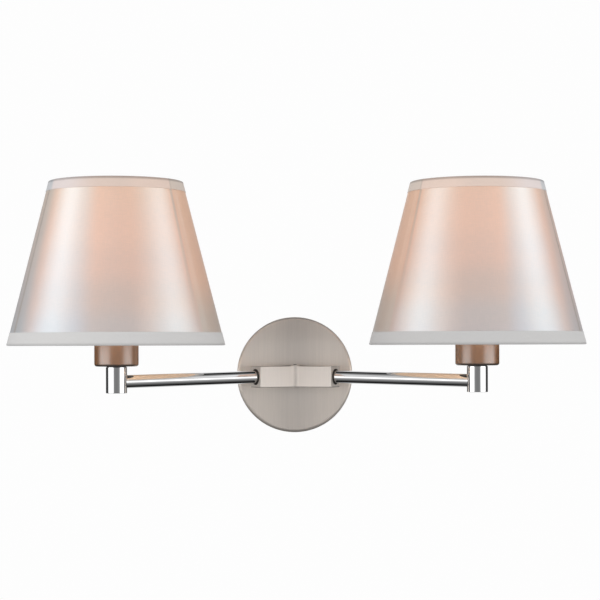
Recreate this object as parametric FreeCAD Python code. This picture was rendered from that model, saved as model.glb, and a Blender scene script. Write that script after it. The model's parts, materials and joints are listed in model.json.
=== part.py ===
import FreeCAD, Part
import math
import os

# Double arm wall light: round wall plate, V bracket, two straight chrome arms,
# an upright post at the end of each, and a conical fabric shade on each post.
#
# Frame: origin at the centre of the plate's wall side. X runs along the wall,
# +Y points into the wall, Z is up. The room is on the -Y side.
# The right half is built, and the left half is its mirror image in X = 0.

V = FreeCAD.Vector
os.makedirs("parts", exist_ok=True)

# ---------------------------------------------------------------- dimensions
# wall plate (pressed pan)
plate_r = 58.5
plate_depth = 25.0
plate_t = 1.2
plate_edge_r = 3.2

# wall strap
strap_half = 56.0
strap_t = 1.5
strap_h_mid = 34.0
strap_h_end = 14.0
strap_mid_half = 31.0
tab_len = 12.0
slot_spacing = 80.0
slot_len = 12.0
slot_w = 4.6
side_screw_y = -6.5
grommet_z = 9.0
grommet_bore_r = 4.0

# V bracket, square section
arm_angle = 27.0              # arms point this far forward of the wall plane
brk_w = 20.6                  # horizontal width of the section
brk_h = 21.0                  # height of the section
brk_t = 1.5
brk_z = -1.7                  # height of the section's centre
brk_end_x = 39.8              # centre of each end face
brk_flat = 8.0                # half width of the flat that sits on the plate
brk_bend_r = 6.5              # rounding of the crease in front
boss_base_r = 15.5
boss_top_r = 4.4
boss_h = 1.3

# bush and arm tube
bush_r = 7.9
bush_len = 8.0
tube_r = 6.35
tube_bore_r = 5.35
fit = 0.05                    # radial clearance of the running fits
tube_inside = 14.0            # length of tube inside the bracket

# post
post_x = 173.2
post_r = 10.1
post_top = 9.4
post_bottom = -15.6
arm_drop = 3.2                # the arms fall this much from bracket to post
tube_stop = 5.2               # tube ends this far from the post's axis

# swivel nipple, cup and lampholder
nip_r = 5.0
nip_bore_r = 3.2
nip_bottom = 3.7
nip_top = 22.0
washer_t = 0.6
cup_r = 21.15
cup_t = 1.0
cup_h = 32.0
holder_r = 19.9
skirt_r = 19.4
holder_top = 60.0

# shade
shade_bottom_z = 29.9
shade_top_z = 186.8
shade_bottom_r = 104.4
shade_top_r = 64.1
hem_t = 0.4
fabric_t = 0.8
wire_r = 1.25
liner_t = 0.6
hem_top_h = 10.2
hem_bottom_h = 12.4

# bulb
bulb_r = 30.0
bulb_tip_z = 31.6
bulb_top_z = 139.5

# ------------------------------------------------------------------- helpers


def cyl(r, p, q):
    d = q.sub(p)
    return Part.makeCylinder(r, d.Length, p, d)


def box(x0, x1, y0, y1, z0, z1):
    return Part.makeBox(x1 - x0, y1 - y0, z1 - z0, V(x0, y0, z0))


def prism(points, z0, z1):
    pts = [V(x, y, z0) for x, y in points]
    wire = Part.makePolygon(pts + [pts[0]])
    return Part.Face(wire).extrude(V(0, 0, z1 - z0))


def turned(points, cx, cy):
    # solid of revolution about the vertical line through (cx, cy);
    # points are (radius, z)
    pts = [V(cx + r, cy, z) for r, z in points]
    wire = Part.makePolygon(pts + [pts[0]])
    return Part.Face(wire).revolve(V(cx, cy, 0), V(0, 0, 1), 360)


def turned_wire(edges, cx, cy):
    return Part.Face(Part.Wire(edges)).revolve(V(cx, cy, 0), V(0, 0, 1), 360)


def nut(af, h, centre, axis, bore, turn=0.0):
    # hexagon nut, its base at centre, rising along axis
    r = af / math.sqrt(3.0)
    pts = []
    for i in range(6):
        a = math.radians(60 * i + turn)
        pts.append(V(r * math.cos(a), r * math.sin(a), 0))
    body = Part.Face(Part.makePolygon(pts + [pts[0]])).extrude(V(0, 0, h))
    # turned corners, as on a real nut
    cap = Part.makeCone(af / 2 + 0.2, af / 2 + 0.2 + h, h, V(0, 0, 0), V(0, 0, 1))
    body = body.common(cap.fuse(Part.makeCylinder(r, h * 0.5, V(0, 0, h * 0.5))))
    body = body.cut(Part.makeCylinder(bore, h + 2, V(0, 0, -1)))
    rot = FreeCAD.Rotation(V(0, 0, 1), axis)
    body.Placement = FreeCAD.Placement(centre, rot)
    return body


def path(points, radius):
    # straight runs joined by tangent arcs; points are vectors
    edges = []
    last = points[0]
    for i in range(1, len(points) - 1):
        a = points[i].sub(points[i - 1])
        b = points[i + 1].sub(points[i])
        a.normalize()
        b.normalize()
        turn = a.getAngle(b)
        r = radius[i - 1] if isinstance(radius, (list, tuple)) else radius
        d = r * math.tan(turn / 2)
        p = points[i].sub(V(a).multiply(d))
        q = points[i].add(V(b).multiply(d))
        out = b.sub(a)
        out.normalize()
        centre = points[i].add(V(out).multiply(r / math.cos(turn / 2)))
        mid = centre.sub(V(out).multiply(r))
        if p.sub(last).Length > 1e-6:
            edges.append(Part.LineSegment(last, p).toShape())
        edges.append(Part.Arc(p, mid, q).toShape())
        last = q
    edges.append(Part.LineSegment(last, points[-1]).toShape())
    return Part.Wire(edges)


def hose(points, r, radius):
    spine = path(points, radius)
    d = points[1].sub(points[0])
    ring = Part.Wire([Part.makeCircle(r, points[0], d)])
    solid = spine.makePipeShell([ring], True, False)
    if solid.Volume < 0:
        solid.reverse()
    print("lead", round(spine.Length, 1), "volume", round(solid.Volume, 1),
          "section times length", round(math.pi * r * r * spine.Length, 1))
    return solid


nodes = {}


def keep(name, shape):
    solids = shape if isinstance(shape, list) else [shape]
    flat = []
    for s in solids:
        flat.extend(s.Solids)
    nodes[name] = flat


def keep_pair(name, shape):
    # right piece as built, left piece mirrored
    solids = shape if isinstance(shape, list) else [shape]
    keep("right_" + name, solids)
    keep("left_" + name, [s.mirror(V(0, 0, 0), V(1, 0, 0)) for s in solids])


# ------------------------------------------------------------- derived points
ca = math.cos(math.radians(arm_angle))
sa = math.sin(math.radians(arm_angle))
ta = sa / ca
half_w = brk_w / 2
apex_y = -plate_depth - half_w / ca + brk_flat * ta      # axis of the section at x = 0
end_y = apex_y - brk_end_x * ta
post_y = end_y - (post_x - brk_end_x) * ta
arm_post_z = brk_z - arm_drop
P_end = V(brk_end_x, end_y, brk_z)
P_post = V(post_x, post_y, arm_post_z)
arm_dir = P_post.sub(P_end)
arm_len = arm_dir.Length
arm_dir.normalize()


def on_arm(s):
    # point on the arm's axis, s from the bracket's end face towards the post
    return P_end.add(V(arm_dir).multiply(s))


print("post axis", round(post_x, 2), round(post_y, 2), "arm length to post axis", round(arm_len, 2))
print("end face centre", round(P_end.x, 2), round(P_end.y, 2), round(P_end.z, 2))
print("arm direction", [round(v, 5) for v in (arm_dir.x, arm_dir.y, arm_dir.z)])

# ------------------------------------------------------------------ wall side
# strap: wide middle, narrow ends, each end turned forward into a tab
strap = box(-strap_mid_half, strap_mid_half, -strap_t, 0, -strap_h_mid / 2, strap_h_mid / 2)
strap = strap.fuse(box(-strap_half, strap_half, -strap_t, 0, -strap_h_end / 2, strap_h_end / 2))
for sx in (-1, 1):
    x0, x1 = sorted((sx * strap_half, sx * (strap_half - strap_t)))
    strap = strap.fuse(box(x0, x1, -tab_len, 0, -strap_h_end / 2, strap_h_end / 2))
strap = strap.removeSplitter()
for sx in (-1, 1):
    cx = sx * slot_spacing / 2
    run = (slot_len - slot_w) / 2
    cut = box(cx - run, cx + run, -3, 1, -slot_w / 2, slot_w / 2)
    for dx in (-run, run):
        cut = cut.fuse(cyl(slot_w / 2, V(cx + dx, 1, 0), V(cx + dx, -3, 0)))
    strap = strap.cut(cut)
    strap = strap.cut(cyl(1.75, V(sx * (strap_half + 1), side_screw_y, 0),
                          V(sx * (strap_half - 3), side_screw_y, 0)))
strap = strap.cut(cyl(6.0, V(0, 1, grommet_z), V(0, -3, grommet_z)))
strap = strap.cut(cyl(2.0, V(24, 1, -11.5), V(24, -3, -11.5)))
keep("wall_strap", strap)

# grommet in the strap's cable hole
gr = cyl(5.95, V(0, 0, grommet_z), V(0, -strap_t - 1.5, grommet_z))
gr = gr.fuse(cyl(8.0, V(0, -strap_t - 0.02, grommet_z), V(0, -strap_t - 1.5, grommet_z)))
gr = gr.cut(cyl(grommet_bore_r, V(0, 1, grommet_z), V(0, -6, grommet_z)))
keep("cable_grommet", gr)

# wall plate: pan with a rounded front edge
outer = cyl(plate_r, V(0, 0, 0), V(0, -plate_depth, 0))
edge = [e for e in outer.Edges if abs(e.BoundBox.YMax + plate_depth) < 1e-6
        and abs(e.BoundBox.YMin + plate_depth) < 1e-6]
outer = outer.makeFillet(plate_edge_r, edge)
inner = cyl(plate_r - plate_t, V(0, 1, 0), V(0, -plate_depth + plate_t, 0))
edge = [e for e in inner.Edges if abs(e.BoundBox.YMax + plate_depth - plate_t) < 1e-6
        and abs(e.BoundBox.YMin + plate_depth - plate_t) < 1e-6]
inner = inner.makeFillet(plate_edge_r - plate_t, edge)
plate = outer.cut(inner)
plate = plate.cut(cyl(nip_r + 0.1, V(0, 0, brk_z), V(0, -plate_depth - 1, brk_z)))
side = []
for sx in (-1, 1):
    # countersunk hole and screw in each side
    a = V(sx * (plate_r + 0.05), side_screw_y, 0)
    head = Part.makeCone(3.1, 1.7, 1.4, V(sx * (plate_r + 0.05), side_screw_y, 0), V(-sx, 0, 0))
    shank = cyl(1.7, V(sx * (plate_r - 1.3), side_screw_y, 0), V(sx * (strap_half - 6), side_screw_y, 0))
    seat = Part.makeCone(3.2, 1.8, 1.4, a, V(-sx, 0, 0))
    hole = cyl(1.8, V(sx * (plate_r + 1), side_screw_y, 0), V(sx * (plate_r - 4), side_screw_y, 0))
    plate = plate.cut(seat).cut(hole)
    screw = head.fuse(shank).removeSplitter()
    # cross recess
    for w, h in ((0.8, 3.4), (3.4, 0.8)):
        x0, x1 = sorted((sx * (plate_r + 1), sx * (plate_r - 0.75)))
        screw = screw.cut(box(x0, x1, side_screw_y - w / 2, side_screw_y + w / 2, -h / 2, h / 2))
    side.append(screw)
keep("wall_plate", plate)
keep("plate_screws", side)

# terminal block: three poles, low on the strap
tb_x, tb_z0, tb_z1 = 14.0, -17.0, -4.6
tb = box(-tb_x, tb_x, -strap_t - 11.0, -strap_t, tb_z0, tb_z1)
clamp = []
for i in (-1, 0, 1):
    cx = i * 9.2
    tb = tb.cut(cyl(1.7, V(cx, -strap_t - 5.6, tb_z0 - 1), V(cx, -strap_t - 5.6, tb_z1 + 1)))
    for cz in (tb_z0 + 3.1, tb_z1 - 3.1):
        tb = tb.cut(cyl(1.6, V(cx, -strap_t - 12, cz), V(cx, -strap_t - 6.4, cz)))
        s = cyl(1.5, V(cx, -strap_t - 10.2, cz), V(cx, -strap_t - 7.4, cz))
        s = s.cut(box(cx - 1.6, cx + 1.6, -strap_t - 10.3, -strap_t - 9.6, cz - 0.25, cz + 0.25))
        clamp.append(s)
    if i < 1:
        tb = tb.cut(box(cx + 4.2, cx + 5.0, -strap_t - 12, -strap_t - 8.0, tb_z0 - 1, tb_z1 + 1))
keep("terminal_block", tb)
keep("terminal_screws", clamp)

# earth screw with its washer, on the strap
es = cyl(2.0, V(24, 0.0, -11.5), V(24, -6.0, -11.5))
es = es.fuse(cyl(3.6, V(24, -3.2, -11.5), V(24, -6.0, -11.5)))
es = es.cut(box(20, 28, -6.2, -5.2, -11.9, -11.1))
ew = cyl(4.2, V(24, -strap_t, -11.5), V(24, -3.2, -11.5)).cut(cyl(2.0, V(24, 1, -11.5), V(24, -7, -11.5)))
keep("earth_screw", [es, ew])

# -------------------------------------------------------------------- bracket
z0, z1 = brk_z - brk_h / 2, brk_z + brk_h / 2


def v_outline(off):
    # plan outline of the V, moved inward by off, crease left sharp
    hw = half_w - off
    front = apex_y - hw / ca
    ex = (brk_end_x - off * ca, end_y + off * sa)
    fr = (ex[0] - hw * sa, ex[1] - hw * ca)
    bk = (ex[0] + hw * sa, ex[1] + hw * ca)
    back_y = -plate_depth - off
    # back face: line parallel to the arm through bk, cut by y = back_y
    bx = bk[0] - (back_y - bk[1]) / ta
    return front, fr, bk, (bx, back_y)


def v_prism(off, za, zb, bend):
    front, fr, bk, flat = v_outline(off)
    # crease in front: arc tangent to both front faces
    d = bend * math.tan(math.radians(arm_angle))
    p = V(d * ca, front - d * sa, za)
    q = V(-d * ca, front - d * sa, za)
    # centre of the rounding lies in front of the crease
    cy = front - bend / ca
    mid = V(0, cy + bend, za)
    pts = [p, V(fr[0], fr[1], za), V(bk[0], bk[1], za), V(flat[0], flat[1], za),
           V(-flat[0], flat[1], za), V(-bk[0], bk[1], za), V(-fr[0], fr[1], za), q]
    edges = [Part.LineSegment(pts[i], pts[i + 1]).toShape() for i in range(len(pts) - 1)]
    edges.append(Part.Arc(q, mid, p).toShape())
    return Part.Face(Part.Wire(edges)).extrude(V(0, 0, zb - za))


shell = v_prism(0, z0, z1, brk_bend_r)
# slightly broken long edges
small = []
for e in shell.Edges:
    bb = e.BoundBox
    if bb.ZLength < 1e-6:
        small.append(e)
    elif bb.XLength < 1e-6 and bb.YLength < 1e-6 and abs(bb.XMin) > brk_end_x - 6:
        small.append(e)
try:
    shell = shell.makeFillet(0.35, small)
except Exception as err:
    print("edge rounding left out:", err)
# low raised boss for the screw on top
boss_y = -33.5
boss = Part.makeCone(boss_base_r, boss_top_r, boss_h, V(0, boss_y, z1), V(0, 0, 1))
boss = boss.fuse(Part.makeCylinder(boss_base_r, 0.6, V(0, boss_y, z1 - 0.6)))
boss = boss.common(v_prism(0.35, z0, z1 + 5, brk_bend_r + 0.35))
shell = shell.fuse(boss).removeSplitter()
hollow = v_prism(brk_t, z0 + brk_t, z1 - brk_t, brk_bend_r + brk_t)
# the back of the shell is open between its top and bottom walls
front_i, fr_i, bk_i, flat_i = v_outline(brk_t)
front_o, fr_o, bk_o, flat_o = v_outline(0)
back_cut = prism([(fr_i[0] - 4, fr_i[1] + 2), (bk_i[0], bk_i[1]),
                  (bk_i[0] + 6 * sa, bk_i[1] + 6 * ca), (flat_o[0] + 3, flat_o[1] + 6),
                  (-flat_o[0] - 3, flat_o[1] + 6), (-bk_i[0] - 6 * sa, bk_i[1] + 6 * ca),
                  (-bk_i[0], bk_i[1]), (-fr_i[0] + 4, fr_i[1] + 2), (0, apex_y)],
                 z0 + brk_t, z1 - brk_t)
shell = shell.cut(hollow).cut(back_cut)
for sx in (-1, 1):
    d = V(arm_dir.x * sx, arm_dir.y, arm_dir.z)
    c = V(P_end.x * sx, P_end.y, P_end.z)
    shell = shell.cut(cyl(bush_r, c.sub(V(d).multiply(6)), c.add(V(d).multiply(4))))
shell = shell.cut(cyl(1.6, V(0, boss_y, z1 - 5), V(0, boss_y, z1 + 5)))
keep("bracket", shell)

# back of the bracket: folded strip between the top and bottom walls,
# with a tab that the top screw runs into
strip_outer = v_prism(0, z0 + brk_t + 0.05, z1 - brk_t - 0.05, brk_bend_r)
strip_cut = v_prism(brk_t, z0 - 1, z1 + 1, brk_bend_r)
# keep the part behind the hollow, between the end walls
zone = prism([(bk_i[0] - 0.05 * ca - 0.0, bk_i[1] + 0.05 * sa),
              (bk_i[0] + 6 * sa - 0.05 * ca, bk_i[1] + 6 * ca + 0.05 * sa),
              (flat_o[0] + 3, flat_o[1] + 6), (-flat_o[0] - 3, flat_o[1] + 6),
              (-bk_i[0] - 6 * sa + 0.05 * ca, bk_i[1] + 6 * ca + 0.05 * sa),
              (-bk_i[0] + 0.05 * ca, bk_i[1] + 0.05 * sa),
              (-flat_i[0], flat_i[1]), (flat_i[0], flat_i[1])],
             z0 - 1, z1 + 1)
strip = strip_outer.cut(strip_cut).common(zone)
tab = box(-5, 5, boss_y - 4, -plate_depth - 0.5, z1 - brk_t - 1.65, z1 - brk_t - 0.05)
strip = strip.fuse(tab).removeSplitter()
strip = strip.cut(cyl(nip_r + 0.05, V(0, -20, brk_z), V(0, -30, brk_z)))
strip = strip.cut(cyl(1.5, V(0, boss_y, z1 - 6), V(0, boss_y, z1 + 2)))
keep("bracket_back", strip)

# screw on top of the bracket: thin shank, low round head with a hexagon socket
ts = cyl(1.5, V(0, boss_y, z1 - 5.5), V(0, boss_y, z1 + boss_h))
ts = ts.fuse(cyl(1.6, V(0, boss_y, z1 + boss_h), V(0, boss_y, z1 + boss_h + 0.5)))
ts = ts.cut(nut(1.5, 1.6, V(0, boss_y, z1 + boss_h - 0.9), V(0, 0, 1), 0.01))
keep("bracket_screw", ts)

# hollow threaded nipple through plate and bracket back, a nut on each side
nb0, nb1 = -17.0, -33.0
nipple = cyl(nip_r, V(0, nb0, brk_z), V(0, nb1, brk_z)).cut(cyl(4.1, V(0, nb0 + 1, brk_z), V(0, nb1 - 1, brk_z)))
keep("bracket_nipple", nipple)
n1 = nut(14.0, 3.0, V(0, -plate_depth + plate_t, brk_z), V(0, 1, 0), nip_r, 0)
n2 = nut(14.0, 3.0, V(0, -plate_depth - brk_t, brk_z), V(0, -1, 0), nip_r, 0)
keep("bracket_nuts", [n1, n2])

# ----------------------------------------------------------------------- arms
bush = cyl(bush_r, on_arm(0.5), on_arm(-bush_len)).cut(cyl(tube_r + fit, on_arm(3), on_arm(-bush_len - 3)))
keep_pair("arm_bush", bush)

tube_end = arm_len - tube_stop
tube = cyl(tube_r, on_arm(-tube_inside), on_arm(tube_end))
tube = tube.cut(cyl(tube_bore_r, on_arm(-tube_inside - 1), on_arm(tube_end + 1)))
keep_pair("arm_tube", tube)

# wave washer and round lock nut on the threaded inner end
wv = cyl(7.7, on_arm(-bush_len - 0.1), on_arm(-bush_len - 0.9)).cut(
    cyl(tube_r, on_arm(-bush_len + 3), on_arm(-bush_len - 6)))
keep_pair("arm_washer", wv)
ln = cyl(8.2, on_arm(-bush_len - 0.95), on_arm(-bush_len - 4.2)).cut(
    cyl(tube_r, on_arm(-bush_len + 3), on_arm(-bush_len - 8)))
for a in (0, 90):
    s = box(-1.0, 1.0, -9, 9, -1.4, 1.4)
    s.Placement = FreeCAD.Placement(on_arm(-bush_len - 4.4),
                                    FreeCAD.Rotation(V(0, 0, 1), arm_dir).multiply(
                                        FreeCAD.Rotation(V(0, 0, 1), a)))
    ln = ln.cut(s.cut(cyl(6.95, on_arm(-bush_len + 3), on_arm(-bush_len - 8))))
keep_pair("arm_lock_nut", ln)

# post: tube bored into its side, swivel bore from the top
post = Part.makeCylinder(post_r, post_top - post_bottom, V(post_x, post_y, post_bottom))
post = post.makeFillet(0.35, [e for e in post.Edges if e.BoundBox.ZLength < 1e-6])
post = post.cut(cyl(tube_r, on_arm(arm_len - tube_stop), on_arm(arm_len - 20)))
post = post.cut(cyl(tube_bore_r, on_arm(arm_len + 3.0), on_arm(arm_len - tube_stop - 1)))
post = post.cut(Part.makeCylinder(nip_r + fit, 20, V(post_x, post_y, nip_bottom - 0.3)))
post = post.cut(Part.makeCylinder(nip_bore_r, 12, V(post_x, post_y, arm_post_z)))
screw_r = 1.5
groove_z = 6.6
post = post.cut(cyl(screw_r, V(post_x, post_y + nip_r - 1, groove_z), V(post_x, post_y + 12, groove_z)))
tube_low = on_arm(arm_len - 8.0)
post = post.cut(cyl(screw_r, V(tube_low.x, tube_low.y, post_bottom - 1), V(tube_low.x, tube_low.y, arm_post_z - 5.5)))
keep_pair("post", post)


def grub(p, q):
    # headless screw from its tip p to its outer end q, hexagon socket in q
    s = cyl(screw_r, p, q)
    d = p.sub(q)
    d.normalize()
    return s.cut(nut(1.5, 1.8, q.sub(V(d).multiply(0.2)), d, 0.01))


g1 = grub(V(post_x, post_y + 4.35, groove_z), V(post_x, post_y + 9.6, groove_z))
g2 = grub(V(tube_low.x, tube_low.y, tube_low.z - tube_r - 0.02), V(tube_low.x, tube_low.y, post_bottom + 0.3))
keep_pair("post_screws", [g1, g2])

lead_r = 1.5
corner = P_post
lead = hose([on_arm(-tube_inside - 0.5), corner, V(post_x, post_y, nip_bottom - 0.5)], lead_r, 4.0)
keep_pair("arm_lead", lead)

# ----------------------------------------------------------------------- head
cx, cy = post_x, post_y
nip = Part.makeCylinder(nip_r, nip_top - nip_bottom, V(cx, cy, nip_bottom))
groove = Part.makeCylinder(nip_r + 1, 3.4, V(cx, cy, groove_z - 1.7)).cut(
    Part.makeCylinder(nip_r - 0.8, 3.4, V(cx, cy, groove_z - 1.7)))
nip = nip.cut(groove).cut(Part.makeCylinder(nip_bore_r, 40, V(cx, cy, nip_bottom - 5)))
keep_pair("swivel_nipple", nip)

cup_z0 = post_top + washer_t
cup_z1 = cup_z0 + cup_h
wash = Part.makeCylinder(9.4, washer_t - 0.04, V(cx, cy, post_top + 0.04)).cut(
    Part.makeCylinder(nip_r + 0.02, 3, V(cx, cy, post_top - 1)))
keep_pair("swivel_washer", wash)

cup = Part.makeCylinder(cup_r, cup_h, V(cx, cy, cup_z0))
cup = cup.makeFillet(2.6, [e for e in cup.Edges if e.BoundBox.ZLength < 1e-6 and abs(e.BoundBox.ZMin - cup_z0) < 1e-6])
cin = Part.makeCylinder(cup_r - cup_t, cup_h, V(cx, cy, cup_z0 + cup_t))
cin = cin.makeFillet(1.6, [e for e in cin.Edges if e.BoundBox.ZLength < 1e-6 and abs(e.BoundBox.ZMin - cup_z0 - cup_t) < 1e-6])
cup = cup.cut(cin).cut(Part.makeCylinder(nip_r + 0.02, 5, V(cx, cy, cup_z0 - 1)))
keep_pair("cup", cup)

cn_z = cup_z0 + cup_t
keep_pair("cup_nut", nut(14.0, 3.0, V(cx, cy, cn_z), V(0, 0, 1), nip_r))

# lampholder: insulated body with a wiring space below and the lamp space above,
# an outside thread on the skirt above the cup
h0 = cn_z + 3.05
hold = [(nip_r, h0), (17.4, h0), (holder_r, h0 + 2.5), (holder_r, cup_z1), (skirt_r, cup_z1)]
z = cup_z1 + 2.0
while z < holder_top - 2.0:
    hold += [(skirt_r, z), (skirt_r - 0.45, z + 0.5), (skirt_r - 0.45, z + 1.0), (skirt_r, z + 1.5)]
    z += 2.6
hold += [(skirt_r, holder_top - 0.4), (skirt_r - 0.4, holder_top), (15.6, holder_top),
         (15.2, holder_top - 0.6), (15.2, 33.4), (5.8, 33.4), (5.8, 30.2), (15.2, 30.2),
         (15.2, 20.2), (nip_r, 20.2)]
holder = turned(hold, cx, cy)
keep_pair("lampholder", holder)

shell_pts = [(13.5, 34.6), (14.6, 34.6), (14.6, holder_top - 3.0), (15.1, holder_top - 3.0),
             (15.1, holder_top - 2.2), (13.9, holder_top - 2.2), (13.5, holder_top - 3.2)]
keep_pair("screw_shell", turned(shell_pts, cx, cy))
contact = Part.makeCylinder(5.75, 3.1, V(cx, cy, 30.25))
contact = contact.cut(Part.makeCylinder(2.9, 2.6, V(cx, cy, 30.0)))
contact = contact.common(Part.makeCone(7.2, 2.9, 1.6, V(cx, cy, 30.25)))
contact_top = 31.45
contact = contact.common(Part.makeCylinder(6, contact_top - 30.25, V(cx, cy, 30.25)))
keep_pair("centre_contact", contact)


# shade surfaces: radius of the cone's outer face at height z
def cone_r(z):
    return shade_bottom_r - (z - shade_bottom_z) * (shade_bottom_r - shade_top_r) / (shade_top_z - shade_bottom_z)


def band(za, zb, off_out, off_in):
    # conical band between two offsets from the cone
    return turned([(cone_r(za) - off_out, za), (cone_r(zb) - off_out, zb),
                   (cone_r(zb) - off_in, zb), (cone_r(za) - off_in, za)], cx, cy)


f_out = hem_t
f_in = hem_t + fabric_t
w_c = f_in + wire_r + 0.12
l_out = f_in + 2 * wire_r + 0.24
l_in = l_out + liner_t
lip_in = l_in + 0.02
hem_in = lip_in + hem_t

# carrier: fitter ring on the cup, three spokes, bottom ring wire
wz = shade_bottom_z + hem_t + wire_r + 0.1
fit_z0 = cup_z1
ring = Part.makeCylinder(27.5, 1.2, V(cx, cy, fit_z0)).cut(Part.makeCylinder(skirt_r + 0.25, 4, V(cx, cy, fit_z0 - 1)))
low = Part.makeTorus(cone_r(wz) - w_c, wire_r, V(cx, cy, wz))
carrier = ring.fuse(low)
spoke_r = 1.3
spoke_angles = (90, 210, 330)
for a in spoke_angles:
    c, s = math.cos(math.radians(a)), math.sin(math.radians(a))
    p = V(cx + 26.4 * c, cy + 26.4 * s, fit_z0 - 0.2)
    q = V(cx + (cone_r(wz) - w_c - 0.2) * c, cy + (cone_r(wz) - w_c - 0.2) * s, wz)
    carrier = carrier.fuse(cyl(spoke_r, p, q))
    carrier = carrier.fuse(Part.makeSphere(spoke_r, p))
carrier = carrier.removeSplitter()
carrier = carrier.cut(Part.makeCylinder(25.0, 1.4, V(cx, cy, fit_z0 - 1.4)))
keep_pair("shade_carrier", carrier)

# threaded ring that clamps the fitter ring
rz = fit_z0 + 1.2
tr = turned([(skirt_r + 0.02, rz), (27.0, rz), (27.6, rz + 0.6), (27.6, rz + 1.8), (27.0, rz + 2.4), (22.6, rz + 2.4),
             (22.2, rz + 8.0), (21.6, rz + 8.6), (skirt_r + 0.02, rz + 8.6)], cx, cy)
for i in range(12):
    a = math.radians(30 * i + 15)
    tr = tr.cut(cyl(1.3, V(cx + 28.0 * math.cos(a), cy + 28.0 * math.sin(a), rz - 1),
                    V(cx + 28.0 * math.cos(a), cy + 28.0 * math.sin(a), rz + 4)))
keep_pair("shade_ring", tr)

# top ring wire
tz = shade_top_z - hem_t - wire_r - 0.1
keep_pair("shade_top_wire", Part.makeTorus(cone_r(tz) - w_c, wire_r, V(cx, cy, tz)))

# outer fabric, liner, and the two hems folded over the edges
fab = band(shade_bottom_z + hem_t, shade_top_z - hem_t, f_out, f_in)
keep_pair("shade_fabric", fab)
lin_z0 = wz + wire_r + 1.6
lin = band(lin_z0, shade_top_z - hem_t, l_out, l_in).cut(carrier)
keep_pair("shade_liner", lin)


def hem(za, zb, lip, top):
    # U-shaped tape: outer band, edge, inner band
    if top:
        e0, e1 = shade_top_z - hem_t, shade_top_z
        pts = [(cone_r(za), za), (cone_r(e1), e1), (cone_r(e1) - hem_in, e1),
               (cone_r(lip) - hem_in, lip), (cone_r(lip) - lip_in, lip),
               (cone_r(e0) - lip_in, e0), (cone_r(e0) - f_out, e0), (cone_r(za) - f_out, za)]
    else:
        e0, e1 = shade_bottom_z, shade_bottom_z + hem_t
        pts = [(cone_r(zb), zb), (cone_r(e0), e0), (cone_r(e0) - hem_in, e0),
               (cone_r(lip) - hem_in, lip), (cone_r(lip) - lip_in, lip),
               (cone_r(e1) - lip_in, e1), (cone_r(e1) - f_out, e1), (cone_r(zb) - f_out, zb)]
    return turned(pts, cx, cy)


keep_pair("shade_top_hem", hem(shade_top_z - hem_top_h, shade_top_z, shade_top_z - 7.0, True))
keep_pair("shade_bottom_hem", hem(shade_bottom_z, shade_bottom_z + hem_bottom_h,
                                  shade_bottom_z + 8.0, False).cut(carrier))

# ----------------------------------------------------------------------- bulb
cap_pts = [(0, bulb_tip_z), (3.4, bulb_tip_z), (4.4, bulb_tip_z + 1.0), (4.8, bulb_tip_z + 2.0),
           (8.2, bulb_tip_z + 3.4), (12.0, bulb_tip_z + 5.6)]
z = bulb_tip_z + 6.4
while z < bulb_tip_z + 19.5:
    cap_pts += [(12.4, z), (13.1, z + 0.9), (13.1, z + 1.3), (12.4, z + 2.2)]
    z += 3.62
cap_pts += [(12.6, z + 0.4), (13.2, z + 1.4), (13.2, bulb_tip_z + 25.6), (0, bulb_tip_z + 25.6)]
cap = turned(cap_pts, cx, cy)
cap = cap.cut(turned([(0, bulb_tip_z + 4.6), (7.6, bulb_tip_z + 4.6), (11.6, bulb_tip_z + 6.6),
                      (11.6, bulb_tip_z + 30), (0, bulb_tip_z + 30)], cx, cy))
keep_pair("bulb_cap", cap)

gz = bulb_tip_z + 25.6
sc = bulb_top_z - bulb_r
# neck leaves the cap straight, then runs tangent to the ball
p0 = (13.0, gz)
p1 = (14.0, gz + 4.0)
dx, dz = p1[0], p1[1] - sc
dist = math.hypot(dx, dz)
beta = math.acos(bulb_r / dist)
base = math.atan2(dz, dx)
tang = base + beta
pt = (bulb_r * math.cos(tang), sc + bulb_r * math.sin(tang))
mid_a = (tang + math.pi / 2) / 2


def P2(r, z):
    return V(cx + r, cy, z)


glass_t = 0.9
bi = bulb_r - glass_t
qt = (bi * math.cos(tang), sc + bi * math.sin(tang))
edges = [Part.LineSegment(P2(p0[0] - glass_t, gz), P2(*p0)).toShape(),
         Part.LineSegment(P2(*p0), P2(*p1)).toShape(),
         Part.LineSegment(P2(*p1), P2(*pt)).toShape(),
         Part.Arc(P2(*pt), P2(bulb_r * math.cos(mid_a), sc + bulb_r * math.sin(mid_a)),
                  P2(0, bulb_top_z)).toShape(),
         Part.LineSegment(P2(0, bulb_top_z), P2(0, bulb_top_z - glass_t)).toShape(),
         Part.Arc(P2(0, bulb_top_z - glass_t), P2(bi * math.cos(mid_a), sc + bi * math.sin(mid_a)),
                  P2(*qt)).toShape(),
         Part.LineSegment(P2(*qt), P2(p1[0] - glass_t, p1[1])).toShape(),
         Part.LineSegment(P2(p1[0] - glass_t, p1[1]), P2(p0[0] - glass_t, gz)).toShape()]
keep_pair("bulb_glass", turned_wire(edges, cx, cy))

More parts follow.
